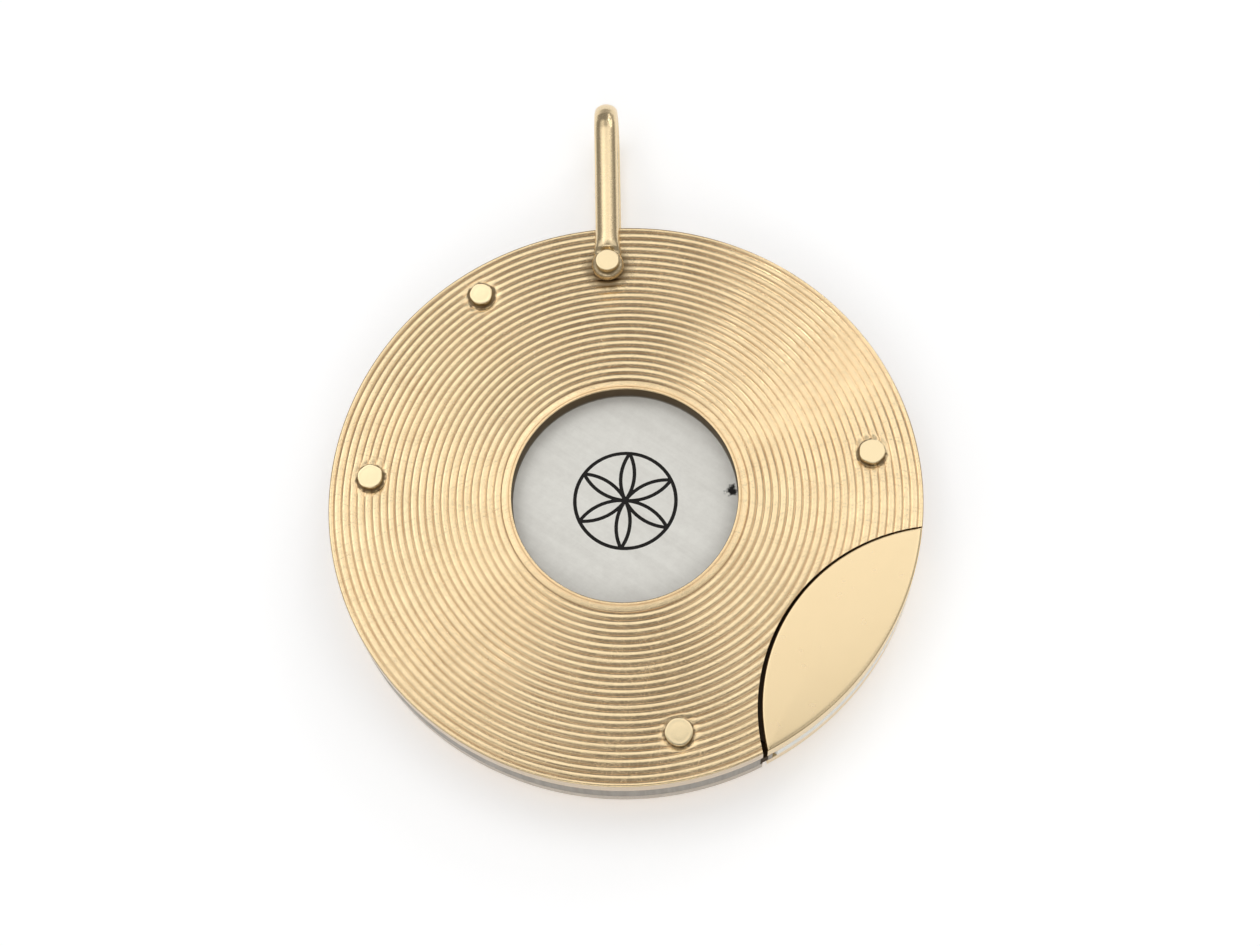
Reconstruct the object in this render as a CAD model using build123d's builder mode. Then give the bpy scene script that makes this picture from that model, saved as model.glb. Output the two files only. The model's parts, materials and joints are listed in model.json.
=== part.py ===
"""Round pocket cigar cutter: a blade that pulls out sideways between two engine-turned plates.

Frame: the origin is the centre of the cigar hole on the rear face, +Z points out of the front
face and +Y points from the hole to the bail's pin. Lengths are in millimetres.

The body is a riveted stack, from the rear: gold plate, steel liner, steel frame, steel liner,
gold plate. The frame is a U whose channel guides the blade. The blade's tail is gripped between
two gold covers, which fill a bite in the plates. Pulled along the slide axis, they open the hole.
"""

import math
import os

from build123d import *

# The stack, from the rear face up.
disc_radius = 21.0
plate_thickness = 1.15
liner_thickness = 0.2
frame_thickness = 1.2
rear_liner_z = plate_thickness
frame_z = rear_liner_z + liner_thickness
front_liner_z = frame_z + frame_thickness
front_plate_z = front_liner_z + liner_thickness
front_z = front_plate_z + plate_thickness
middle_z = front_z / 2

# The hole and the turned pattern round it: one smooth ring, then equal rounded ridges.
hole_radius = 8.0
ring_outer_radius = 8.76
ring_rise = 0.05
ridge_count = 22
ridge_edge_radius = 20.64
ridge_height = 0.09
rim_round = 0.22
rim_crown = 0.02

# The slide axis, and what the blade needs round it. Slide coordinates are u along it, v across.
slide_angle = -39.0
travel = 17.6
blade_half_width = 9.0
blade_gap = 0.02
channel_gap = 0.08
edge_u = -9.2
edge_sagitta = 2.6
edge_half_chord = 8.6
edge_bevel = 1.15
edge_land = 0.12
edge_overcut = 1.0
lug_half_width = 9.9
lug_length = 2.0
lug_gap = 0.1
end_gap = 0.8
mouth_relief_radius = 0.3

# The bite in the plates, the covers that fill it and the pins that hold them to the blade.
bite_centre = (27.43, -0.2)
bite_radius = 13.3
cover_centre = (27.36, 0)
cover_radius = 13.06
cover_lift = 0.06
cover_round = 0.2
cover_pins = ((17.0, -4.5), (17.0, 4.5))
cover_pin_radius = 0.6
cover_pin_depth = 0.6

# Four rivets hold the stack: radius and angle of each, and the radius of its head.
rivets = {
    "right": (17.71, 5.2, 0.95),
    "upper": (18.78, 120.0, 0.86),
    "left": (18.1, 171.5, 0.93),
    "lower": (17.71, -81.9, 1.0),
}
rivet_shank_radius = 0.6
rivet_head_height = 0.45
rivet_head_chamfer = 0.08
collar_radius = 1.08
collar_height = 0.12
spot_radius = 1.15
spot_depth = 0.1

# The bail: a U of oval wire over the rim, with a thinner eye on each face held by a headed pin.
pin_y = 17.75
pin_radius = 0.6
pin_head_radius = 0.88
pin_head_height = 0.45
pin_head_chamfer = 0.1
eye_bore_radius = 0.64
eye_radius = 1.17
eye_thickness = 0.75
eye_gap = 0.12
head_gap = 0.05
head_room = 0.25
wire_half_width = 0.92
wire_half_thickness = 0.65
bail_length = 14.37
bail_lean = -3.0

# The leaf spring that brakes the blade, in a pocket beside the channel.
spring_u = 12.6
spring_half_length = 3.2
spring_foot = 0.7
spring_thickness = 0.25
spring_height = 0.9
spring_gap = 0.03
pocket_depth = 1.3
pocket_end_gap = 0.35

# A six-petal rosette engraved on the blade's front face.
rosette_radius = 3.6
rosette_line = 0.26
rosette_depth = 0.08
petal_count = 6

through = 4 * front_z
slide_direction = Vector(math.cos(math.radians(slide_angle)), math.sin(math.radians(slide_angle)), 0)
blade_z = frame_z + blade_gap
blade_top_z = front_liner_z - blade_gap
edge_radius = (edge_half_chord**2 + edge_sagitta**2) / (2 * edge_sagitta)
lug_end_u = edge_u - edge_sagitta
channel_half_width = blade_half_width + channel_gap
mouth_u = math.sqrt(disc_radius**2 - channel_half_width**2)
shoulder_u = lug_end_u + lug_length + travel + lug_gap


def slide_plane(z):
    """The horizontal plane at height z whose x runs along the slide axis."""
    return Plane(origin=(0, 0, z), x_dir=slide_direction, z_dir=(0, 0, 1))


def rivet_point(name):
    """The centre of the named rivet in plan."""
    radius, angle, _ = rivets[name]
    return (radius * math.cos(math.radians(angle)), radius * math.sin(math.radians(angle)))


def save(builder, name):
    """Labels a finished piece and writes it as the node of that name."""
    builder.part.label = name
    export_step(builder.part, f"parts/{name}.step")


rivet_points = [rivet_point(name) for name in rivets]
os.makedirs("parts", exist_ok=True)

# Front plate: turned section, bite, spot faces and holes for the rivets and the bail's pin.
valley_z = front_z - ridge_height
pitch = (ridge_edge_radius - ring_outer_radius) / ridge_count
with BuildPart() as front_plate:
    with BuildSketch(Plane.XZ):
        with BuildLine():
            Polyline(
                (hole_radius, front_z - rim_round / 2),
                (hole_radius, front_plate_z),
                (disc_radius, front_plate_z),
                (disc_radius, front_z - rim_round),
            )
            ThreePointArc(
                (disc_radius, front_z - rim_round),
                ((disc_radius + ridge_edge_radius) / 2, front_z - rim_crown),
                (ridge_edge_radius, valley_z),
            )
            for number in range(ridge_count, 0, -1):
                outer = ring_outer_radius + number * pitch
                ThreePointArc((outer, valley_z), (outer - pitch / 2, front_z), (outer - pitch, valley_z))
            ThreePointArc(
                (ring_outer_radius, valley_z),
                ((ring_outer_radius + hole_radius) / 2, front_z + ring_rise),
                (hole_radius, front_z - rim_round / 2),
            )
        make_face()
    revolve(axis=Axis.Z)
    with BuildSketch(slide_plane(0)):
        with Locations(bite_centre):
            Circle(bite_radius)
    extrude(amount=through, mode=Mode.SUBTRACT)
    with Locations(*[(x, y, front_z) for x, y in rivet_points]):
        Cylinder(spot_radius, 2 * spot_depth, mode=Mode.SUBTRACT)
        Cylinder(rivet_shank_radius, through, mode=Mode.SUBTRACT)
    with Locations((0, pin_y, front_z)):
        Cylinder(pin_radius, through, mode=Mode.SUBTRACT)
save(front_plate, "front_plate")

with BuildPart() as rear_plate:
    mirror(front_plate.part, about=Plane.XY.offset(middle_z))
save(rear_plate, "rear_plate")

# Liners: thin steel discs whose hole edges the blade shears against.
with BuildPart() as front_liner:
    with BuildSketch(Plane.XY.offset(front_liner_z)):
        Circle(disc_radius)
        Circle(hole_radius, mode=Mode.SUBTRACT)
        with Locations(*rivet_points):
            Circle(rivet_shank_radius, mode=Mode.SUBTRACT)
        with Locations((0, pin_y)):
            Circle(pin_radius, mode=Mode.SUBTRACT)
    extrude(amount=liner_thickness)
    with BuildSketch(slide_plane(0)):
        with Locations(bite_centre):
            Circle(bite_radius)
    extrude(amount=through, mode=Mode.SUBTRACT)
save(front_liner, "front_liner")

with BuildPart() as rear_liner:
    mirror(front_liner.part, about=Plane.XY.offset(middle_z))
save(rear_liner, "rear_liner")

# Frame: a U round the channel, which narrows at the shoulders that stop the blade's lugs and is
# relieved at the corners of its mouth.
channel_end_u = lug_end_u - end_gap
relief_half_width = lug_half_width + lug_gap
with BuildPart() as guide_frame:
    with BuildSketch(slide_plane(frame_z)):
        Circle(disc_radius)
        with Locations(((channel_end_u + shoulder_u) / 2, 0)):
            Rectangle(shoulder_u - channel_end_u, 2 * relief_half_width, mode=Mode.SUBTRACT)
        with Locations(((shoulder_u + disc_radius) / 2, 0)):
            Rectangle(disc_radius - shoulder_u + lug_gap, 2 * channel_half_width, mode=Mode.SUBTRACT)
        with Locations((mouth_u, -channel_half_width), (mouth_u, channel_half_width)):
            Circle(mouth_relief_radius, mode=Mode.SUBTRACT)
        with Locations((spring_u, channel_half_width + (pocket_depth - channel_gap) / 2)):
            Rectangle(
                2 * (spring_half_length + pocket_end_gap), pocket_depth + channel_gap, mode=Mode.SUBTRACT
            )
    extrude(amount=frame_thickness)
    with Locations(*[(x, y, front_z) for x, y in rivet_points]):
        Cylinder(rivet_shank_radius, through, mode=Mode.SUBTRACT)
    with Locations((0, pin_y, front_z)):
        Cylinder(pin_radius, through, mode=Mode.SUBTRACT)
save(guide_frame, "guide_frame")

# Blade: straight sides, stop lugs at the inner corners and a hollow cutting edge between them.
with BuildPart() as blade:
    with BuildSketch(slide_plane(blade_z)):
        with Locations((lug_end_u + disc_radius, 0)):
            Rectangle(2 * disc_radius, 2 * blade_half_width)
        with Locations((lug_end_u + lug_length / 2, 0)):
            Rectangle(lug_length, 2 * lug_half_width)
        Circle(disc_radius, mode=Mode.INTERSECT)
        with Locations((edge_u - edge_radius, 0)):
            Circle(edge_radius, mode=Mode.SUBTRACT)
    extrude(amount=blade_top_z - blade_z)
    with BuildSketch(Plane(origin=(0, 0, 0), x_dir=slide_direction, z_dir=(0, 0, 1)).rotated((90, 0, 0))):
        for face_z, side in ((blade_top_z, 1), (blade_z, -1)):
            with BuildLine():
                Polyline(
                    (edge_u - edge_overcut, face_z + side * edge_overcut),
                    (edge_u - edge_overcut, middle_z + side * edge_land / 2),
                    (edge_u, middle_z + side * edge_land / 2),
                    (edge_u + edge_bevel, face_z),
                    (edge_u + edge_bevel, face_z + side * edge_overcut),
                    close=True,
                )
            make_face()
    revolve(axis=Axis(slide_direction * (edge_u - edge_radius), (0, 0, 1)), mode=Mode.SUBTRACT)
    petal_centres = [
        Vector(rosette_radius, 0).rotate(Axis.Z, 360 * number / petal_count) for number in range(petal_count)
    ]
    for centre in [Vector(0, 0)] + petal_centres:
        with BuildSketch(slide_plane(blade_top_z)):
            with Locations(centre):
                Circle(rosette_radius + rosette_line / 2)
                Circle(rosette_radius - rosette_line / 2, mode=Mode.SUBTRACT)
            Circle(rosette_radius + rosette_line / 2, mode=Mode.INTERSECT)
        extrude(amount=-rosette_depth, mode=Mode.SUBTRACT)
    with BuildSketch(slide_plane(0)):
        with Locations(*cover_pins):
            Circle(cover_pin_radius)
    extrude(amount=through, mode=Mode.SUBTRACT)
save(blade, "blade")

# Covers: lens-shaped, above and below the blade's tail, each stepped down to it between the arms.
with BuildPart() as front_cover:
    with BuildSketch(slide_plane(front_liner_z + cover_lift)):
        Circle(disc_radius)
        with Locations(cover_centre):
            Circle(cover_radius, mode=Mode.INTERSECT)
    extrude(amount=front_z - front_liner_z - cover_lift)
    fillet(front_cover.faces().sort_by(Axis.Z)[-1].edges(), cover_round)
    with BuildSketch(slide_plane(blade_top_z)):
        Circle(disc_radius)
        with Locations(cover_centre):
            Circle(cover_radius, mode=Mode.INTERSECT)
        Rectangle(2 * disc_radius, 2 * blade_half_width, mode=Mode.INTERSECT)
    extrude(amount=front_liner_z + cover_lift - blade_top_z)
    with BuildSketch(slide_plane(blade_top_z)):
        with Locations(*cover_pins):
            Circle(cover_pin_radius)
    extrude(amount=cover_pin_depth, mode=Mode.SUBTRACT)
save(front_cover, "front_cover")

with BuildPart() as rear_cover:
    mirror(front_cover.part, about=Plane.XY.offset(middle_z))
save(rear_cover, "rear_cover")

# Leaf spring: an arch whose feet lie on the pocket's wall and whose crown brakes the blade.
wall_v = channel_half_width + pocket_depth
leaf_v = wall_v - spring_thickness / 2
crown_v = blade_half_width + spring_gap + spring_thickness / 2
with BuildPart() as leaf_spring:
    with BuildSketch(slide_plane(middle_z - spring_height / 2)):
        with BuildLine():
            ThreePointArc(
                (spring_u - spring_half_length + spring_foot, leaf_v),
                (spring_u, crown_v),
                (spring_u + spring_half_length - spring_foot, leaf_v),
            )
        trace(line_width=spring_thickness)
        for end in (-1, 1):
            with Locations((spring_u + end * (spring_half_length - spring_foot / 2), leaf_v)):
                Rectangle(spring_foot, spring_thickness)
    extrude(amount=spring_height)
save(leaf_spring, "leaf_spring")

# Bail: oval wire bent over the rim, spot-faced round the pin's heads down to the eyes.
# Rises are measured from the stack's middle plane, which is half its thickness from either face.
eye_rise = middle_z + eye_gap
arm_rise = eye_rise + wire_half_thickness
bail_straight = bail_length - arm_rise - wire_half_thickness
bail_direction = Vector(0, 1, 0).rotate(Axis.Z, bail_lean)
bail_side = Plane(
    origin=(0, pin_y, middle_z), x_dir=bail_direction, z_dir=bail_direction.cross(Vector(0, 0, 1))
)
with BuildPart() as bail:
    with BuildLine(bail_side) as bail_path:
        Line((0, arm_rise), (bail_straight, arm_rise))
        ThreePointArc((bail_straight, arm_rise), (bail_straight + arm_rise, 0), (bail_straight, -arm_rise))
        Line((bail_straight, -arm_rise), (0, -arm_rise))
    with BuildSketch(Plane(origin=bail_path.line @ 0, x_dir=(0, 0, 1), z_dir=bail_path.line % 0)):
        Ellipse(wire_half_thickness, wire_half_width)
    sweep(path=bail_path.line)
    for side in (1, -1):
        with Locations((0, pin_y, middle_z + side * (eye_rise + eye_thickness / 2))):
            Cylinder(eye_radius, eye_thickness)
        with Locations((0, pin_y, middle_z + side * (eye_rise + eye_thickness + front_z / 2))):
            Cylinder(pin_head_radius + head_room, front_z, mode=Mode.SUBTRACT)
    with Locations((0, pin_y, middle_z)):
        Cylinder(eye_bore_radius, through, mode=Mode.SUBTRACT)
save(bail, "bail")

head_base = eye_rise + eye_thickness + head_gap
with BuildPart() as bail_pin:
    with Locations((0, pin_y, middle_z)):
        Cylinder(pin_radius, 2 * head_base)
    for side in (1, -1):
        with Locations((0, pin_y, middle_z + side * (head_base + pin_head_height / 2))):
            Cylinder(pin_head_radius, pin_head_height)
    ends = bail_pin.faces().sort_by(Axis.Z)
    chamfer(ends[0].edges() + ends[-1].edges(), pin_head_chamfer)
save(bail_pin, "bail_pin")

# Pins that join the covers to the blade.
for name, place in zip(("lower", "upper"), cover_pins):
    with BuildPart() as cover_pin:
        with BuildSketch(slide_plane(blade_z - cover_pin_depth)):
            with Locations(place):
                Circle(cover_pin_radius)
        extrude(amount=blade_top_z - blade_z + 2 * cover_pin_depth)
    save(cover_pin, f"cover_pin_{name}")

# Rivets, each with a collar under either head in the plates' spot faces.
seat_rise = middle_z - spot_depth
for name, (_, _, head_radius) in rivets.items():
    x, y = rivet_point(name)
    with BuildPart() as rivet:
        with Locations((x, y, middle_z)):
            Cylinder(rivet_shank_radius, 2 * (seat_rise + collar_height))
        for side in (1, -1):
            head_middle = seat_rise + collar_height + rivet_head_height / 2
            with Locations((x, y, middle_z + side * head_middle)):
                Cylinder(head_radius, rivet_head_height)
        ends = rivet.faces().sort_by(Axis.Z)
        chamfer(ends[0].edges() + ends[-1].edges(), rivet_head_chamfer)
    save(rivet, f"rivet_{name}")
    for face, side in (("front", 1), ("rear", -1)):
        with BuildPart() as collar:
            with Locations((x, y, middle_z + side * (seat_rise + collar_height / 2))):
                Cylinder(collar_radius, collar_height)
                Cylinder(rivet_shank_radius, 2 * collar_height, mode=Mode.SUBTRACT)
        save(collar, f"collar_{face}_{name}")
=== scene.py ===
"""Looks for the pocket cigar cutter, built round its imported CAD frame.

Shapes are worked out in millimetres, in the frame's own axes, and turned to metres by mesh_piece().
Slide coordinates are u along the blade's travel and v across it.
"""

import json
import math
import random

import bpy
import numpy as np
from mathutils import Matrix, Vector, noise


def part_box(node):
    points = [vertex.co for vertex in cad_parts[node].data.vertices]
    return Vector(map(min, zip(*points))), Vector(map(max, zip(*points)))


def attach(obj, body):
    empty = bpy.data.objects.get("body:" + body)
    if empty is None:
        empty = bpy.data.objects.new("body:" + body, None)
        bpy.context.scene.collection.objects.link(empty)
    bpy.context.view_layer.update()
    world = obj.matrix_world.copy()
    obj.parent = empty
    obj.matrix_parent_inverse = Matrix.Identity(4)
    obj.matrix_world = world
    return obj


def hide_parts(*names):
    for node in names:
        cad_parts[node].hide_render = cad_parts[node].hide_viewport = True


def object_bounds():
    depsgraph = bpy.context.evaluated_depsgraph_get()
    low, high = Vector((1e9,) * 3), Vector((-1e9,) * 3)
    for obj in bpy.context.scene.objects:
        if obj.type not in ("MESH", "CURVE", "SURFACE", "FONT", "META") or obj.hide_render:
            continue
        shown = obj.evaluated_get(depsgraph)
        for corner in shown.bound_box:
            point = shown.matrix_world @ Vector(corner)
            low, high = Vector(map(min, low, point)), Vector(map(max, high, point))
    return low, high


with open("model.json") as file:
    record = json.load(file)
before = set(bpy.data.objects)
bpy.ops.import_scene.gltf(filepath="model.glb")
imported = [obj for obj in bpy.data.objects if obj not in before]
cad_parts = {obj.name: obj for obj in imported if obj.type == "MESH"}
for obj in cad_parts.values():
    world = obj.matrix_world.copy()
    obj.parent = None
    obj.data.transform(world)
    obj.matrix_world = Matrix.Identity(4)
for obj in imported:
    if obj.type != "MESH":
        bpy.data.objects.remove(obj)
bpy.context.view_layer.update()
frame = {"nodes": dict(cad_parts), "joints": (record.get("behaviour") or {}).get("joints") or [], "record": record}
record = frame["record"]
nodes = frame["nodes"]

MM = 0.001


# ---------------------------------------------------------------- sizes read from the frame

def box_mm(node):
    """Lowest and highest corner of a CAD node in millimetres."""
    low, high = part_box(node)
    return low / MM, high / MM


def centre_mm(node):
    """The centre of a CAD node's box in millimetres."""
    low, high = box_mm(node)
    return (low + high) / 2


mounts = {mount["name"]: mount for mount in record["mounts"]}
joints = {joint["name"]: joint for joint in frame["joints"]}
disc_radius = box_mm("guide_frame")[1].x
hole_radius = mounts["front_cigar_hole"]["dims"]["r_mm"]
front_z = box_mm("front_cover")[1].z
rear_z = box_mm("rear_cover")[0].z
middle_z = (front_z + rear_z) / 2
plate_base_z = box_mm("front_liner")[1].z
cover_base_z = box_mm("blade")[1].z
blade_top_z = box_mm("blade")[1].z
arm_top_z = box_mm("guide_frame")[1].z
slide_axis = Vector(joints["blade_slide"]["axis"])
slide_angle = math.atan2(slide_axis.y, slide_axis.x)
pin = centre_mm("bail_pin")

# Sizes that the frame doesn't state, repeated from the CAD.
bite_centre_uv = (27.43, -0.2)
bite_radius = 13.3
cover_centre_u = 27.36
cover_radius = 13.06
cover_round = 0.2
cover_gap_round = 0.1
blade_half_width = 9.0
ring_outer_radius = 8.76
ridge_edge_radius = 20.64
ridge_count = 22
rosette_radius = 3.73

# The crack between the bite and the covers, painted dark as shade on the steel seen in it.
gap_radius = 13.18
gap_reach = 0.24


def from_slide(u, v):
    """Turns slide coordinates to x and y."""
    c, s = math.cos(slide_angle), math.sin(slide_angle)
    return u * c - v * s, u * s + v * c


# ---------------------------------------------------------------- camera

view_tilt = math.radians(21.0)
view_turn = math.radians(1.7)
view_roll = math.radians(6.06)
view_distance = 155.10
view_focal_px = 2200
view_offset = (0.536, 1.421)
image_width_px = 1260


def add_camera():
    """The camera of the reference view, nearly overhead from the -Y side."""
    turn = Matrix.Rotation(view_turn, 3, "Z")
    right = turn @ Vector((1, 0, 0))
    up = turn @ Vector((0, math.cos(view_tilt), math.sin(view_tilt)))
    back = turn @ Vector((0, -math.sin(view_tilt), math.cos(view_tilt)))
    place = Vector((0, 0, front_z)) + view_offset[0] * right + view_offset[1] * up + view_distance * back
    c, s = math.cos(view_roll), math.sin(view_roll)
    axes = Matrix((c * right - s * up, s * right + c * up, back)).transposed()
    data = bpy.data.cameras.new("camera")
    data.sensor_width = 36
    data.lens = view_focal_px / image_width_px * data.sensor_width
    data.clip_start = 0.005
    data.clip_end = 10
    camera = bpy.data.objects.new("camera", data)
    camera.matrix_world = Matrix.Translation(place * MM) @ axes.to_4x4()
    bpy.context.scene.collection.objects.link(camera)
    bpy.context.scene.camera = camera


# ---------------------------------------------------------------- shader helpers

noise_band = (0.3, 0.7)
scratch_crests = (0.62, 0.72)


class Shader:
    """A material's node tree. Methods return output sockets, and take sockets or plain values."""

    def __init__(self, name, **principled):
        self.material = bpy.data.materials.new(name)
        self.material.use_nodes = True
        self.tree = self.material.node_tree
        self.surface = self.tree.nodes["Principled BSDF"]
        for key, value in principled.items():
            self.surface.inputs[key.replace("_", " ")].default_value = value
        coordinates = self.tree.nodes.new("ShaderNodeTexCoord")
        self.place = self.vector("SCALE", coordinates.outputs["Object"], scale=1 / MM)
        self.x, self.y, self.z = self.split(self.place)

    def node(self, kind, inputs, **settings):
        made = self.tree.nodes.new(kind)
        for key, value in settings.items():
            setattr(made, key, value)
        for key, value in inputs.items():
            if isinstance(value, bpy.types.NodeSocket):
                self.tree.links.new(value, made.inputs[key])
            else:
                made.inputs[key].default_value = value
        return made

    def math(self, operation, *values, clamp=False):
        made = self.node("ShaderNodeMath", dict(enumerate(values)), operation=operation, use_clamp=clamp)
        return made.outputs[0]

    def vector(self, operation, *values, scale=None):
        inputs = dict(enumerate(values))
        if scale is not None:
            inputs["Scale"] = scale
        made = self.node("ShaderNodeVectorMath", inputs, operation=operation)
        return made.outputs["Value" if operation in ("LENGTH", "DISTANCE") else "Vector"]

    def split(self, value):
        return self.node("ShaderNodeSeparateXYZ", {0: value}).outputs

    def join(self, x, y, z):
        return self.node("ShaderNodeCombineXYZ", {0: x, 1: y, 2: z}).outputs[0]

    def add(self, first, second):
        return self.math("ADD", first, second)

    def times(self, first, second):
        return self.math("MULTIPLY", first, second)

    def most(self, first, second):
        return self.math("MAXIMUM", first, second)

    def level_distance(self, point):
        """Distance in the level plane from a point, given as x and y."""
        return self.vector("DISTANCE", self.join(self.x, self.y, 0.0), (point[0], point[1], 0))

    def cloud(self, scale, detail, low, high):
        """Noise with its middle band spread over low..high."""
        return self.span(self.noise(self.place, scale, detail), *noise_band, low, high)

    def span(self, value, low, high, to_low=0.0, to_high=1.0, smooth=False):
        """Maps low..high to to_low..to_high, held at the ends."""
        inputs = {"Value": value, "From Min": low, "From Max": high, "To Min": to_low, "To Max": to_high}
        kind = "SMOOTHSTEP" if smooth else "LINEAR"
        return self.node("ShaderNodeMapRange", inputs, interpolation_type=kind).outputs["Result"]

    def noise(self, place, scale, detail=3.0, rough=0.55):
        inputs = {"Vector": place, "Scale": scale, "Detail": detail, "Roughness": rough}
        return self.node("ShaderNodeTexNoise", inputs).outputs["Fac"]

    def mix(self, share, first, second):
        made = self.node("ShaderNodeMix", {0: share}, data_type="RGBA")
        for socket, value in ((made.inputs[6], first), (made.inputs[7], second)):
            if isinstance(value, bpy.types.NodeSocket):
                self.tree.links.new(value, socket)
            else:
                socket.default_value = (*value, 1)
        return made.outputs[2]

    def bump(self, height, distance):
        inputs = {"Height": height, "Distance": distance * MM, "Strength": 1.0}
        return self.node("ShaderNodeBump", inputs).outputs["Normal"]

    def set(self, **sockets):
        for key, value in sockets.items():
            self.tree.links.new(value, self.surface.inputs[key.replace("_", " ")])

    def scratches(self, angle, length, width, amount):
        """Fine straight scratches: noise drawn out along an angle, cut down to its thin crests."""
        c, s = math.cos(angle), math.sin(angle)
        along = self.add(self.times(self.x, c / length), self.times(self.y, s / length))
        over = self.add(self.times(self.x, -s / width), self.times(self.y, c / width))
        grain = self.noise(self.join(along, over, 0.0), 1.0, 2.0)
        return self.span(grain, *scratch_crests, 0.0, amount)


gold_light = (0.84, 0.675, 0.42)
gold_deep = (0.77, 0.585, 0.34)
head_light = (0.78, 0.64, 0.40)
# Painted shade on the turned ridges: deeper gold on their flanks, brown in their valleys.
flank_shade_gold = (0.70, 0.47, 0.25)
valley_shade_brown = (0.40, 0.22, 0.09)
# Painted light and shade on the outer wall: lighter over the front plate, darker over the rear.
front_wall_lit_gold = (0.62, 0.50, 0.36)
rear_wall_shaded_gold = (0.33, 0.28, 0.225)
# One dark colour for grime and for painted shade.
dark_grime_and_shade = (0.055, 0.032, 0.014)
cut_black = (0.012, 0.010, 0.009)
blade_light, blade_dark = (0.93, 0.915, 0.85), (0.79, 0.77, 0.71)
core_light, core_dark = (0.33, 0.30, 0.26), (0.26, 0.235, 0.20)

# Scratches in the gold: angle in radians, with length and width in millimetres.
gold_scratches = ((0.4, 6.0, 0.05), (1.3, 7.0, 0.06), (2.1, 7.0, 0.06), (2.8, 7.0, 0.06))
rub_amount = 0.055
gold_relief = 0.012
steel_relief = 0.0015
grime_and_shade_roughness = 0.3
gap_shade_roughness = 0.4
cut_roughness = 0.35

# How far from a ridge's valley, as a share of the pitch, each colour reaches: painted shade on the flanks and in
# the valleys.
flank_reach = (0.1, 0.4)
flank_amount = 0.45
valley_reach = (0.02, 0.12)
valley_amount = (0.3, 0.85)
speck_band = (0.6, 0.8)
speck_amount = 0.25
lathe_pitch = 14.0
lathe_height = 0.35
# Strength of the painted shade on the hole's wall.
hole_wall_shade = 0.9
# How much of the outer wall takes its painted light and shade.
wall_light_and_shade_share = 0.9

# The engraving's floor lies below the blade's face; the pit is beside the hole's right wall.
cut_heights = (0.03, 0.02)
pit_place = (7.58, 0.12)
pit_reach = (0.22, 0.5)
edge_raggedness = 0.22
# The crack's painted shade: its soft edge, the stretch of v it fades over, and its strength at each end.
gap_soft_edge = 0.1
gap_span_v = (2.0, 6.5)
gap_amount = (0.97, 0.35)


def near(shader, point, inner, outer, raggedness=edge_raggedness):
    """1 within inner of an upright line through the point and 0 beyond outer, with a ragged edge."""
    away = shader.level_distance(point)
    ragged = shader.add(away, shader.cloud(3.0, 4.0, -raggedness, raggedness))
    return shader.span(ragged, inner, outer, 1.0, 0.0, smooth=True)


def turned_colours(shader, colour):
    """The turned plates' colour, dirt specks and painted light and shade, mostly from the distance to the nearest
    ridge's valley.
    """
    radius = shader.vector("LENGTH", shader.join(shader.x, shader.y, 0.0))
    pitch = (ridge_edge_radius - ring_outer_radius) / ridge_count
    step = shader.math("DIVIDE", shader.math("SUBTRACT", radius, ring_outer_radius), pitch)
    off = shader.math("ABSOLUTE", shader.math("SUBTRACT", step, shader.math("ROUND", step)))
    # Painted shade: deeper gold on the flanks, brown along the valleys.
    flank = shader.span(off, *flank_reach, flank_amount, 0.0, smooth=True)
    colour = shader.mix(flank, colour, flank_shade_gold)
    valley = shader.span(off, *valley_reach, 1.0, 0.0, smooth=True)
    depth = shader.cloud(0.35, 4.0, *valley_amount)
    colour = shader.mix(shader.times(valley, depth), colour, valley_shade_brown)
    specks = shader.span(shader.noise(shader.place, 2.2, 5.0), *speck_band, 0.0, speck_amount)
    dirt_and_shade = shader.times(valley, specks)
    lathe = shader.noise(shader.join(shader.times(radius, lathe_pitch), 0.0, 0.0), 1.0, 2.0)
    # Painted shade on the hole's inner wall.
    dirt_and_shade = shader.most(dirt_and_shade, shader.span(radius, hole_radius + 0.005, hole_radius + 0.03, hole_wall_shade, 0.0))
    # Painted light and shade on the outer wall: lighter above the middle, darker below.
    wall_light_and_shade = shader.mix(shader.math("GREATER_THAN", shader.z, middle_z), rear_wall_shaded_gold, front_wall_lit_gold)
    wall = shader.span(radius, disc_radius - 0.06, disc_radius - 0.01, 0.0, wall_light_and_shade_share)
    return shader.mix(wall, colour, wall_light_and_shade), dirt_and_shade, shader.times(lathe, lathe_height)


def gold_material(name, roughness, scratch, tone=0.5, spread=0.1, patchy=0.2, light=gold_light, turned=False,
                  darkened_rings=()):
    """Polished or satin gold: soft colour change, rubbed patches, scratches and grime, with painted light and
    shade on the turned plates and darkened rings round given points.
    """
    shader = Shader(name, Metallic=1.0)
    colour = shader.mix(shader.cloud(0.22, 3.0, tone - spread, tone + spread), light, gold_deep)
    rough = shader.add(shader.cloud(0.9, 4.0, -rub_amount * patchy, rub_amount * patchy), roughness)
    marks = shader.scratches(*gold_scratches[0], 1.0)
    for angle, length, width in gold_scratches[1:]:
        marks = shader.most(marks, shader.scratches(angle, length, width, 1.0))
    height = shader.times(marks, -scratch)
    if turned:
        colour, dirt_and_shade, lathe = turned_colours(shader, colour)
        height = shader.add(height, lathe)
    else:
        dirt_and_shade = shader.span(shader.noise(shader.place, 1.6, 5.0), 0.62, 0.8, 0.0, 0.1 * patchy)
    # Darkened rings round given points: painted shadow, painted shade, and rings at the rivets' feet.
    for point, inner, outer, amount, raggedness in darkened_rings:
        dirt_and_shade = shader.most(dirt_and_shade, shader.times(near(shader, point, inner, outer, raggedness), amount))
    # Grime and painted shade share one mask, which roughens and darkens the gold.
    rough = shader.add(rough, shader.times(dirt_and_shade, grime_and_shade_roughness))
    colour = shader.mix(dirt_and_shade, colour, dark_grime_and_shade)
    shader.set(Base_Color=colour, Roughness=rough, Normal=shader.bump(height, gold_relief))
    return shader.material


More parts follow.
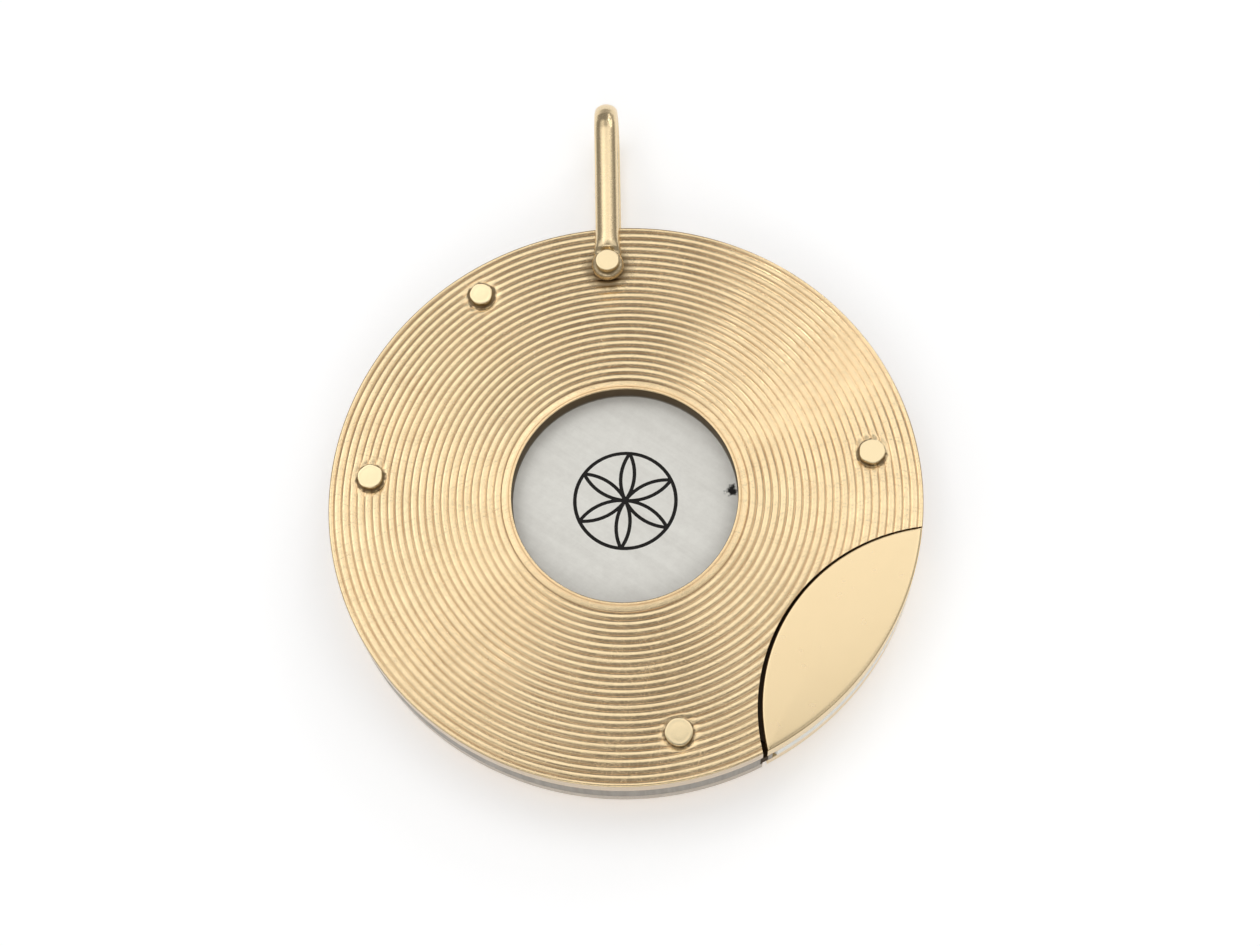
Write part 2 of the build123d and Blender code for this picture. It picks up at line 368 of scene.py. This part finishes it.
def steel_material(name, light, dark, roughness, metallic=1.0, engraved=False):
    """Brushed steel, drawn along the slide, with a faint mottling."""
    shader = Shader(name, Metallic=metallic)
    c, s = math.cos(slide_angle), math.sin(slide_angle)
    u = shader.add(shader.times(shader.x, c), shader.times(shader.y, s))
    v = shader.math("SUBTRACT", shader.times(shader.y, c), shader.times(shader.x, s))
    streak = shader.noise(shader.join(shader.times(u, 0.12), shader.times(v, 5.0), 0.0), 1.0, 5.0)
    broad = shader.noise(shader.join(shader.times(u, 0.08), shader.times(v, 0.7), 0.0), 1.0, 2.0)
    mottle = shader.noise(shader.place, 1.8, 6.0, 0.7)
    share = shader.add(shader.span(streak, *noise_band, 0.0, 0.2), shader.span(broad, 0.35, 0.65, 0.0, 0.4))
    share = shader.add(share, shader.span(mottle, 0.35, 0.65, 0.0, 0.4))
    colour = shader.mix(share, light, dark)
    rough = shader.span(streak, *noise_band, roughness - 0.06, roughness + 0.08)
    if engraved:
        radius = shader.vector("LENGTH", shader.join(shader.x, shader.y, 0.0))
        cut = shader.span(shader.z, blade_top_z - cut_heights[0], blade_top_z - cut_heights[1], 1.0, 0.0)
        cut = shader.times(cut, shader.math("LESS_THAN", radius, rosette_radius + 0.1))
        cut = shader.most(cut, near(shader, pit_place, *pit_reach))
        cut = shader.times(cut, shader.math("GREATER_THAN", shader.z, middle_z))
        colour = shader.mix(cut, colour, cut_black)
        rough = shader.add(rough, shader.times(cut, cut_roughness))
    # Painted shade in the crack between the bite and the covers, fading along v.
    off_gap = shader.math("SUBTRACT", shader.level_distance(from_slide(*bite_centre_uv)), gap_radius)
    off_gap = shader.math("ABSOLUTE", off_gap)
    gap = shader.span(off_gap, gap_reach, gap_reach + gap_soft_edge, 1.0, 0.0, smooth=True)
    gap = shader.times(gap, shader.span(v, *gap_span_v, *gap_amount))
    rough = shader.add(rough, shader.times(gap, gap_shade_roughness))
    colour = shader.mix(gap, colour, dark_grime_and_shade)
    shader.set(Base_Color=colour, Roughness=rough, Normal=shader.bump(streak, steel_relief))
    return shader.material


# ---------------------------------------------------------------- mesh helpers

def mesh_piece(name, verts, faces, material, body, slot, stands_for, sharp=30):
    """A piece from millimetre vertices, smooth but for edges sharper than the angle in degrees."""
    mesh = bpy.data.meshes.new(name)
    mesh.from_pydata([(x * MM, y * MM, z * MM) for x, y, z in verts], [], faces)
    mesh.polygons.foreach_set("use_smooth", [True] * len(mesh.polygons))
    mesh.set_sharp_from_angle(angle=math.radians(sharp))
    mesh.materials.append(material)
    piece = bpy.data.objects.new(name, mesh)
    bpy.context.scene.collection.objects.link(piece)
    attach(piece, body)
    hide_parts(*stands_for)
    return piece


def loops_to_faces(count, size, cap_ends=True):
    """Faces of a tube of count loops of size vertices each, with its two ends closed."""
    faces = []
    for i in range(count - 1):
        for j in range(size):
            k = (j + 1) % size
            faces.append((i * size + j, i * size + k, (i + 1) * size + k, (i + 1) * size + j))
    if cap_ends:
        faces.append(tuple(reversed(range(size))))
        faces.append(tuple((count - 1) * size + j for j in range(size)))
    return faces


# ---------------------------------------------------------------- the turned plates

rivet_names = ("right", "upper", "left", "lower")
rivets = {name: centre_mm("rivet_" + name) for name in rivet_names}

# The raised ring round the hole: its height, its fall outward, and its inner corner.
ring_rise = 0.035
ring_fall = 0.045
ring_corner = ((0.0, 0.05), (0.012, 0.02))
ring_shares = (0.05, 0.15, 0.27, 0.4, 0.52, 0.64, 0.76, 0.87, 0.95)
groove_depth = 0.07
groove_half_width = 0.1
ridge_crown = 0.026
ridge_samples = (0.0, 0.035, 0.07, 0.11, 0.17, 0.27, 0.37, 0.43, 0.47, 0.505)

# The plain border outside the ridges, and its rounded corner as a share of its width.
border_shares = (0.12, 0.25, 0.45, 0.62)
corner_share = 0.38
corner_steps = 5

# The flat worn round each rivet, the width it blends over, and how much of a groove wear takes.
spot_radius = 1.15
spot_blend = 0.5
spot_depth = 0.08
wear_scale = 0.16
wear_share = 0.45
wall_margin = 0.02
plate_segments = 540


def turned_profile():
    """Radius and height of the plate's top from the hole's wall to the rim, and its walls."""
    pitch = (ridge_edge_radius - ring_outer_radius) / ridge_count
    ring_top = front_z + ring_rise
    profile = [(hole_radius, plate_base_z)]
    profile += [(hole_radius + out, ring_top - down) for out, down in ring_corner]
    ring_width = ring_outer_radius - hole_radius
    for share in ring_shares:
        profile.append((hole_radius + share * ring_width, ring_top - ring_fall * share**2))
    for number in range(ridge_count):
        for offset in ridge_samples:
            radius = ring_outer_radius + number * pitch + offset
            profile.append((radius, ridge_z(radius, pitch)))
    profile.append((ridge_edge_radius, front_z - groove_depth))
    border = disc_radius - ridge_edge_radius
    for share in border_shares:
        drop = groove_depth * (1 - share / border_shares[-1]) ** 2
        profile.append((ridge_edge_radius + share * border, front_z - drop))
    corner = corner_share * border
    for step in range(1, corner_steps + 1):
        turn = step / corner_steps * math.pi / 2
        radius = disc_radius - corner + corner * math.sin(turn)
        profile.append((radius, front_z - corner + corner * math.cos(turn)))
    profile.append((disc_radius, plate_base_z))
    return profile


def ridge_z(radius, pitch):
    """Height of a ridge: nearly flat on top, with narrow valleys."""
    off = (radius - ring_outer_radius) / pitch % 1
    off = min(off, 1 - off) * pitch
    crown = ridge_crown * (1 - 2 * off / pitch) ** 2
    return front_z - crown - (groove_depth - ridge_crown) * math.exp(-((off / groove_half_width) ** 2))


def worn_height(x, y, z):
    """The plate's height with the wear that use leaves: rubbed ridges and flats round the rivets."""
    if z < front_z - groove_depth - wall_margin:
        return z
    for place in rivets.values():
        away = math.hypot(x - place.x, y - place.y)
        if away < spot_radius:
            z = front_z - spot_depth
        elif away < spot_radius + spot_blend:
            left = 1 - (away - spot_radius) / spot_blend
            z = z + (front_z - spot_depth * left - z) * left**2
    rub = 0.5 + 0.5 * noise.noise(Vector((x, y, 0)) * wear_scale)
    depth = front_z - z
    return front_z - depth * (1 - wear_share * rub) if depth > 0 else z


def turned_plate(side):
    """The front plate's skin, or with side -1 the rear one's, cut by the bite."""
    profile = turned_profile()
    bite = Vector(from_slide(*bite_centre_uv))
    size = plate_segments
    radii = np.array([radius for radius, _ in profile])
    angles = np.arange(size) * 2 * math.pi / size
    xs, ys = np.outer(radii, np.cos(angles)), np.outer(radii, np.sin(angles))
    outside = np.hypot(xs - bite.x, ys - bite.y) - bite_radius
    verts, index = [], {}

    def grid_vertex(i, j):
        key = (i, j)
        if key not in index:
            index[key] = len(verts)
            x, y = xs[i, j], ys[i, j]
            verts.append((x, y, worn_height(x, y, profile[i][1])))
        return index[key]

    def cut_vertex(a, b):
        key = (min(a, b), max(a, b))
        if key not in index:
            (i, j), (k, m) = key
            t = outside[i, j] / (outside[i, j] - outside[k, m])
            x, y = xs[i, j] + t * (xs[k, m] - xs[i, j]), ys[i, j] + t * (ys[k, m] - ys[i, j])
            z = profile[i][1] + t * (profile[k][1] - profile[i][1])
            index[key] = len(verts)
            verts.append((x, y, worn_height(x, y, z)))
        return index[key]

    faces, cuts = [], []
    for i in range(len(profile) - 1):
        for j in range(size):
            corners = [(i, j), (i + 1, j), (i + 1, (j + 1) % size), (i, (j + 1) % size)]
            signs = [outside[c] >= 0 for c in corners]
            if all(signs):
                faces.append([grid_vertex(*c) for c in corners])
            elif any(signs):
                ring, crossing = [], []
                for n in range(4):
                    a, b = corners[n], corners[(n + 1) % 4]
                    if signs[n]:
                        ring.append(grid_vertex(*a))
                    if signs[n] != signs[(n + 1) % 4]:
                        ring.append(cut_vertex(a, b))
                        crossing.append(ring[-1])
                faces.append(ring)
                if len(crossing) == 2:
                    cuts.append(crossing)
    base = {}
    for a, b in cuts:
        for n in (a, b):
            if n not in base and verts[n][2] > plate_base_z + 1e-6:
                base[n] = len(verts)
                verts.append((verts[n][0], verts[n][1], plate_base_z))
        if a in base and b in base:
            faces.append([a, base[a], base[b], b])
    if side < 0:
        verts = [(x, y, 2 * middle_z - z) for x, y, z in verts]
    else:
        faces = [list(reversed(face)) for face in faces]
    return verts, [face[::-1] for face in faces]


# ---------------------------------------------------------------- the thumb piece's covers

cover_steps = 72
cover_round_steps = 5
cover_crown = 0.03
cover_insets = (0.3, 0.45, 0.7, 1.1, 1.6, 2.2, 2.8)
cover_centre_inset = 0.1
cover_lift = 0.06


def lens_loop(rim_inset, gap_inset):
    """The lens between the disc's rim and the cover's arc, each moved in by its own inset."""
    outer, inner = disc_radius - rim_inset, cover_radius - gap_inset
    reach = (cover_centre_u**2 + outer**2 - inner**2) / (2 * cover_centre_u)
    half = math.acos(reach / outer)
    turn = math.acos((cover_centre_u - reach) / inner)
    loop = []
    for n in range(cover_steps):
        angle = half * (2 * n / cover_steps - 1)
        loop.append((outer * math.cos(angle), outer * math.sin(angle)))
    for n in range(cover_steps):
        angle = math.pi - turn * (1 - 2 * n / cover_steps)
        loop.append((cover_centre_u + inner * math.cos(angle), inner * math.sin(angle)))
    return loop


def thumb_cover(side):
    """A lens-shaped cover with a rounded edge and a slightly crowned face, stepped to meet the blade."""
    lens_half = (disc_radius - cover_centre_u + cover_radius) / 2
    foot = [(u, v, cover_base_z if abs(v) < blade_half_width else arm_top_z + cover_lift)
            for u, v in lens_loop(0, 0)]
    loops = [foot]
    for step in range(cover_round_steps + 1):
        turn = step / cover_round_steps * math.pi / 2
        away = 1 - math.cos(turn)
        z = front_z - cover_crown - cover_round * (1 - math.sin(turn))
        loops.append([(u, v, z) for u, v in lens_loop(cover_round * away, cover_gap_round * away)])
    for inset in (*cover_insets, lens_half - cover_centre_inset):
        share = 1 - inset / lens_half
        outline = lens_loop(inset, inset - cover_round + cover_gap_round)
        loops.append([(u, v, front_z - cover_crown * share**2) for u, v in outline])
    size = len(loops[0])
    verts = []
    for loop in loops:
        for u, v, z in loop:
            x, y = from_slide(u, v)
            verts.append((x, y, z if side > 0 else 2 * middle_z - z))
    faces = loops_to_faces(len(loops), size)
    return verts, faces if side > 0 else [face[::-1] for face in faces]


# ---------------------------------------------------------------- rivets and the bail's pin

pin_size = 56
shank_radius = 0.6
head_share = 0.97
head_top = ((0.25, 0.0), (0.6, 0.0), (0.82, 0.004))
head_round_steps = 5
outline_waves = 5
head_tilt = 0.03
shank_reach = 0.2


def headed_pin(place, head, low, low_top, high_base, high, seed, roundness, uneven):
    """A pin with a peened, hand-filed head at each end, from height low to height high."""
    rng = random.Random(seed)
    waves = [(rng.uniform(-1, 1), rng.uniform(0, 2 * math.pi)) for _ in range(outline_waves)]
    tilt = (rng.uniform(-head_tilt, head_tilt), rng.uniform(-head_tilt, head_tilt))

    def outline(angle):
        return 1 + uneven * sum(a * math.sin((n + 2) * angle + b) for n, (a, b) in enumerate(waves)) / 2

    def head_rings(flat_z, foot_z):
        way = 1 if flat_z > foot_z else -1
        rings = list(head_top)
        for step in range(head_round_steps + 1):
            turn = step / head_round_steps * math.pi / 2
            rings.append((1 - roundness * (1 - math.sin(turn)) / head, roundness * (1 - math.cos(turn))))
        return [(head * share, flat_z - way * drop, True) for share, drop in rings] + [(head, foot_z, True)]

    rings = head_rings(low, low_top)
    rings += [(shank_radius, low_top, False), (shank_radius, high_base, False)]
    rings += list(reversed(head_rings(high, high_base)))
    verts = []
    for radius, z, shaped in rings:
        leans = shaped and min(abs(z - low_top), abs(z - high_base)) > shank_reach
        for j in range(pin_size):
            angle = 2 * math.pi * j / pin_size
            r = radius * (outline(angle) if shaped else 1)
            x, y = r * math.cos(angle), r * math.sin(angle)
            lean = tilt[0] * x + tilt[1] * y if leans else 0
            verts.append((place.x + x, place.y + y, z + lean))
    return verts, [face[::-1] for face in loops_to_faces(len(rings), pin_size)]


# ---------------------------------------------------------------- the bail

wire_half_width = 0.87
wire_half_thickness = 0.65
eye_gap = 0.12
eye_radius = 1.17
eye_thickness = 0.75
eye_bore = 0.66
pin_head_height = 0.45
pin_head_radius = 0.845
bail_length = 14.37
bail_lean = math.radians(-3)
bend_steps = 16
bail_size = 40
eye_bevel = 0.16
bail_voxel = 0.05
bail_smoothing = 0.6
bail_smoothings = 22

# The neck: distance from the pin, and the wire's width and thickness there as shares of the full ones.
neck_and_wire = (
    (0.8, 1.2, 0.55), (1.02, 1.15, 0.72), (1.2, 1.11, 0.93), (1.6, 1.05, 0.99), (2.2, 1, 1), (7.0, 1, 1),
)


def wire_stations():
    """The wire's stations round the loop: s, w, turn, half width and half thickness."""
    rise = middle_z + eye_gap + wire_half_thickness
    straight = bail_length - rise - wire_half_thickness
    front = []
    for s, wide, thick in neck_and_wire:
        half_w, half_t = wide * wire_half_width, thick * wire_half_thickness
        front.append((s, middle_z + eye_gap + half_t, 0.0, half_w, half_t))
    front.append((straight, rise, 0.0, wire_half_width, wire_half_thickness))
    bend = [(straight, rise, step / bend_steps * math.pi, wire_half_width, wire_half_thickness)
            for step in range(1, bend_steps)]
    back = [(s, -w, math.pi, half_w, half_t) for s, w, _, half_w, half_t in reversed(front)]
    return front + bend + back


def bail_mesh():
    """The bail's shells in its own plane: s runs from the pin to the bend, w is height over the middle."""
    turns = [2 * math.pi * j / bail_size for j in range(bail_size)]
    stations = wire_stations()
    verts = []
    for s, w, turn, half_w, half_t in stations:
        centre = Vector((s, w))
        if 0 < turn < math.pi:
            centre = Vector((s + w * math.sin(turn), w * math.cos(turn)))
        out = Vector((math.sin(turn), math.cos(turn)))
        for angle in turns:
            across, over = half_w * math.cos(angle), half_t * math.sin(angle)
            verts.append((across, centre.x + over * out.x, centre.y + over * out.y))
    faces = loops_to_faces(len(stations), bail_size)
    inner = middle_z + eye_gap
    outer = inner + eye_thickness
    rings = [(eye_bore, inner), (eye_radius - eye_bevel, inner), (eye_radius, inner + eye_bevel),
             (eye_radius, outer - 1.5 * eye_bevel), (eye_radius - eye_bevel, outer), (eye_bore, outer),
             (eye_bore, inner)]
    for way in (1, -1):
        first = len(verts)
        for radius, w in rings:
            verts += [(radius * math.cos(angle), radius * math.sin(angle), way * w) for angle in turns]
        ring_faces = loops_to_faces(len(rings), bail_size, cap_ends=False)
        if way > 0:
            ring_faces = [face[::-1] for face in ring_faces]
        faces += [tuple(first + n for n in face) for face in ring_faces]
    c, s = math.cos(bail_lean), math.sin(bail_lean)
    placed = [(pin.x + x * c - y * s, pin.y + x * s + y * c, middle_z + z) for x, y, z in verts]
    return placed, faces


def fused_bail(material):
    """Fuses the bail's shells into one forged-looking skin."""
    verts, faces = bail_mesh()
    piece = mesh_piece("bail_forged", verts, faces, material, "bail", "wire_gold", ["bail"])
    remesh = piece.modifiers.new("fuse", "REMESH")
    remesh.mode = "VOXEL"
    remesh.voxel_size = bail_voxel * MM
    smooth = piece.modifiers.new("ease", "SMOOTH")
    smooth.factor = bail_smoothing
    smooth.iterations = bail_smoothings
    graph = bpy.context.evaluated_depsgraph_get()
    fused = bpy.data.meshes.new_from_object(piece.evaluated_get(graph))
    piece.modifiers.clear()
    piece.data = fused
    fused.polygons.foreach_set("use_smooth", [True] * len(fused.polygons))
    if not fused.materials:
        fused.materials.append(material)
    return piece


# ---------------------------------------------------------------- build

# Darkened rings as inner reach, outer reach, amount and raggedness: round each rivet's foot,
# painted shadow round the bail's eye on the plate, and painted shade between the bail and its pin.
rivet_foot_ring = (0.97, 1.17, 0.8, 0.12)
eye_shadow_ring = (1.3, 2.1, 0.55, 0.22)
pin_shade_ring = (0.92, 1.1, 0.6, 0.12)
rivet_roundness, rivet_uneven = 0.07, 0.03
pin_roundness, pin_uneven = 0.05, 0.015
first_rivet_seed, pin_seed = 3, 11
plate_sharp = 50
pin_place = (pin.x, pin.y)

turned_gold = gold_material(
    "gold_turned", roughness=0.22, scratch=0.25, spread=0.2, patchy=1.0, turned=True,
    darkened_rings=[((place.x, place.y), *rivet_foot_ring) for place in rivets.values()] + [(pin_place, *eye_shadow_ring)],
)
cover_gold = gold_material("gold_satin", roughness=0.27, scratch=0.02, tone=0.35, spread=0.06, patchy=0.08)
wire_gold = gold_material(
    "gold_wire", roughness=0.27, scratch=0.0, tone=0.2, patchy=0.3, darkened_rings=[(pin_place, *pin_shade_ring)]
)
head_gold = gold_material(
    "gold_heads", roughness=0.16, scratch=0.03, tone=0.08, spread=0.05, patchy=0.1, light=head_light
)
blade_steel = steel_material(
    "steel_blade", blade_light, blade_dark, roughness=0.5, metallic=0.1, engraved=True
)
core_steel = steel_material("steel_core", core_light, core_dark, roughness=0.38)

cad_materials = {
    "front_liner": core_steel, "rear_liner": core_steel, "guide_frame": core_steel, "leaf_spring": core_steel,
    "blade": blade_steel, "cover_pin_lower": blade_steel, "cover_pin_upper": blade_steel,
}
cad_materials.update({name: turned_gold for name in nodes if name.startswith("collar_")})
for name, material in cad_materials.items():
    nodes[name].data.materials.clear()
    nodes[name].data.materials.append(material)

for side, word in ((1, "front"), (-1, "rear")):
    mesh_piece(f"turned_plate_{word}", *turned_plate(side), turned_gold, "case", "turned_gold",
               [f"{word}_plate"], sharp=plate_sharp)
    mesh_piece(f"thumb_cover_{word}", *thumb_cover(side), cover_gold, "cutter", "polished_gold",
               [f"{word}_cover"])
for number, name in enumerate(rivet_names):
    low, high = box_mm("rivet_" + name)
    collar_top = box_mm("collar_front_" + name)[1].z
    collar_low = box_mm("collar_rear_" + name)[0].z
    head = (high.x - low.x) / 2 * head_share
    shape = headed_pin(rivets[name], head, low.z, collar_low, collar_top, high.z, number + first_rivet_seed,
                       rivet_roundness, rivet_uneven)
    mesh_piece("rivet_filed_" + name, *shape, head_gold, "case", "rivet_gold", ["rivet_" + name])
low, high = box_mm("bail_pin")
shape = headed_pin(pin, pin_head_radius, low.z, low.z + pin_head_height, high.z - pin_head_height, high.z,
                   pin_seed, pin_roundness, pin_uneven)
mesh_piece("bail_pin_peened", *shape, head_gold, "case", "rivet_gold", ["bail_pin"])
fused_bail(wire_gold)

# ---------------------------------------------------------------- floor, lights and world

floor_half = 1.5
floor_tones = ((0.93, 0.93, 0.93), (0.95, 0.95, 0.95))
floor_glow = 0.31
world_glow = 0.25
light_distance = 0.7

# Soft boxes: azimuth counted from +X, elevation, width and height in metres, radiance, roll.
softboxes = {
    "strip": (90, 68, 0.8, 0.34, 1.04, 6),
    "right_wing": (-8, 52, 0.72, 0.6, 0.54, 0),
    "left_wing": (188, 52, 0.72, 0.6, 0.66, 0),
    "back": (118, 48, 0.32, 0.32, 0.7, 0),
    "front_fill": (-95, 40, 0.5, 0.3, 1.6, 0),
    "key_0": (46, 30, 0.045, 0.3, 4.0, 0),
    "key_1": (57, 30, 0.045, 0.3, 4.0, 0),
    "key_2": (68, 30, 0.045, 0.3, 4.0, 0),
}


def add_floor():
    """A plain pale floor under the lowest point."""
    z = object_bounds()[0].z
    shader = Shader("floor", Roughness=0.6)
    shader.set(Base_Color=shader.mix(shader.noise(shader.place, 0.02, 2.0), *floor_tones))
    shader.surface.inputs["Emission Color"].default_value = (1, 1, 1, 1)
    shader.surface.inputs["Emission Strength"].default_value = floor_glow
    corners = [(x * floor_half, y * floor_half, z) for x, y in ((-1, -1), (1, -1), (1, 1), (-1, 1))]
    mesh = bpy.data.meshes.new("floor")
    mesh.from_pydata(corners, [], [(0, 1, 2, 3)])
    mesh.materials.append(shader.material)
    floor = bpy.data.objects.new("floor", mesh)
    bpy.context.scene.collection.objects.link(floor)


def add_softbox(name, azimuth, elevation, width, height, radiance, roll):
    """An area light that faces the disc."""
    a, e = math.radians(azimuth), math.radians(elevation)
    toward = Vector((math.cos(e) * math.cos(a), math.cos(e) * math.sin(a), math.sin(e)))
    data = bpy.data.lights.new(name, "AREA")
    data.shape = "RECTANGLE"
    data.size, data.size_y = width, height
    data.energy = radiance * math.pi * width * height
    lamp = bpy.data.objects.new(name, data)
    facing = toward.to_track_quat("Z", "Y").to_matrix() @ Matrix.Rotation(math.radians(roll), 3, "Z")
    lamp.matrix_world = Matrix.Translation(toward * light_distance) @ facing.to_4x4()
    bpy.context.scene.collection.objects.link(lamp)


add_floor()
for name, numbers in softboxes.items():
    add_softbox(name, *numbers)

world = bpy.data.worlds.new("studio")
world.use_nodes = True
world.node_tree.nodes["Background"].inputs["Color"].default_value = (1, 1, 1, 1)
world.node_tree.nodes["Background"].inputs["Strength"].default_value = world_glow
bpy.context.scene.world = world
bpy.context.scene.view_settings.view_transform = "Standard"

add_camera()
